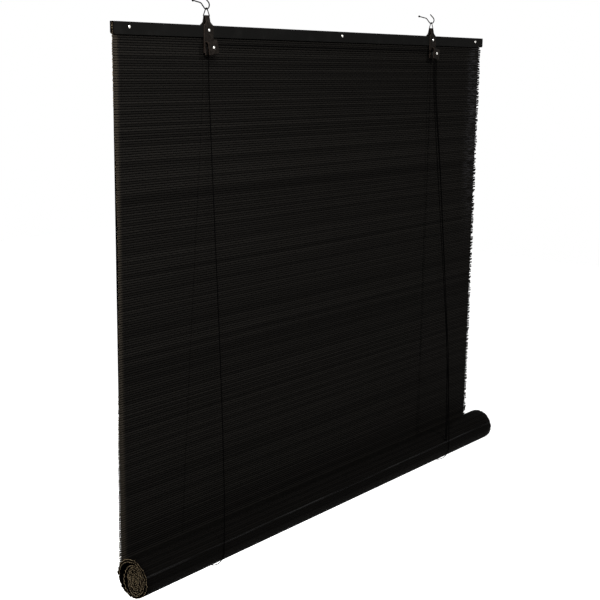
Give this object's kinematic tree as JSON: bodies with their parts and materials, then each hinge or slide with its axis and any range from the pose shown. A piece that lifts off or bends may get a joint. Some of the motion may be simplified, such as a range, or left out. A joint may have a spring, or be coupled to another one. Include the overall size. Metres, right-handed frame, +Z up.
{
  "type": "bamboo roll up blind",
  "caption": "Dark reed mat blind wound into a roll at its foot, hung by leather straps from wire rings and hooks, with lift cords over pulleys in leather tabs.",
  "frame": {"origin": "midway between the tops of the two hanging rings, where the hooks carry them, on the mat's middle plane", "axes": "+X along the head rail to the right as seen from the room, +Y away from the room towards the wall, +Z up"},
  "size_m": [1.208, 0.112, 1.0514],
  "materials": {
    "reed_wood": "near-black stained bamboo reed, satin",
    "lath_wood": "plain sawn lath, dull",
    "rail_paint": "black satin lacquer",
    "strap_leather": "dark brown leather with paler cut edges",
    "rivet_nickel": "polished nickel plate",
    "wire_dark": "dark lacquered wire, half gloss",
    "pulley_plastic": "black moulded plastic",
    "cord_fabric": "black twisted cord"
  },
  "bodies": {
    "hangers": {"left_hook": "wire_dark", "right_hook": "wire_dark", "left_ring": "wire_dark", "right_ring": "wire_dark"},
    "blind": {"head_rail": "rail_paint", "front_lath": "lath_wood", "back_lath": "lath_wood", "rail_rivets": "rivet_nickel", "reed_mat": "reed_wood", "left_strap": "strap_leather", "right_strap": "strap_leather", "left_tab": "strap_leather", "right_tab": "strap_leather", "strap_rivets": "rivet_nickel", "tab_rivets": "rivet_nickel", "left_front_cord": "cord_fabric", "right_front_cord": "cord_fabric", "left_back_cord": "cord_fabric", "right_back_cord": "cord_fabric", "left_back_knot": "cord_fabric", "right_back_knot": "cord_fabric", "cross_cord": "cord_fabric", "right_cord_bend": "cord_fabric", "left_pull_cord": "cord_fabric", "right_pull_cord": "cord_fabric"},
    "left_pulley": {"left_pulley": "pulley_plastic"},
    "right_pulley": {"right_pulley": "pulley_plastic"},
    "cord_slings": {"left_sling": "cord_fabric", "right_sling": "cord_fabric", "pull_knot": "cord_fabric"},
    "roll": {"mat_roll": "reed_wood"}
  },
  "joints": [
    {"name": "blind_swing", "type": "hinge", "parent": "hangers", "child": "blind", "pos_m": [0, 0, -0.015], "axis": [1, 0, 0], "range_deg": [-20, 20]},
    {"name": "roll_lift", "type": "slide", "parent": "blind", "child": "cord_slings", "axis": [0, 0, 1], "range_m": [0, 0.8], "deforming": ["reed_mat", "left_front_cord", "right_front_cord", "left_back_cord", "right_back_cord", "left_pull_cord", "right_pull_cord"]},
    {"name": "roll_turn", "type": "hinge", "parent": "cord_slings", "child": "roll", "pos_m": [0, -0.0368, -0.993], "axis": [1, 0, 0], "range_deg": [-1081, 1]},
    {"name": "left_pulley_turn", "type": "hinge", "parent": "blind", "child": "left_pulley", "pos_m": [-0.373, -0.0121, -0.0685], "axis": [0, 1, 0], "range_deg": [-1, 16669]},
    {"name": "right_pulley_turn", "type": "hinge", "parent": "blind", "child": "right_pulley", "pos_m": [0.373, -0.0121, -0.0685], "axis": [0, 1, 0], "range_deg": [-1, 16669]}
  ],
  "couplings": [
    {"joint": "roll_turn", "follows": "roll_lift", "rad_per_m": -23.562},
    {"joint": "left_pulley_turn", "follows": "roll_lift", "rad_per_m": 363.64},
    {"joint": "right_pulley_turn", "follows": "roll_lift", "rad_per_m": 363.64}
  ]
}
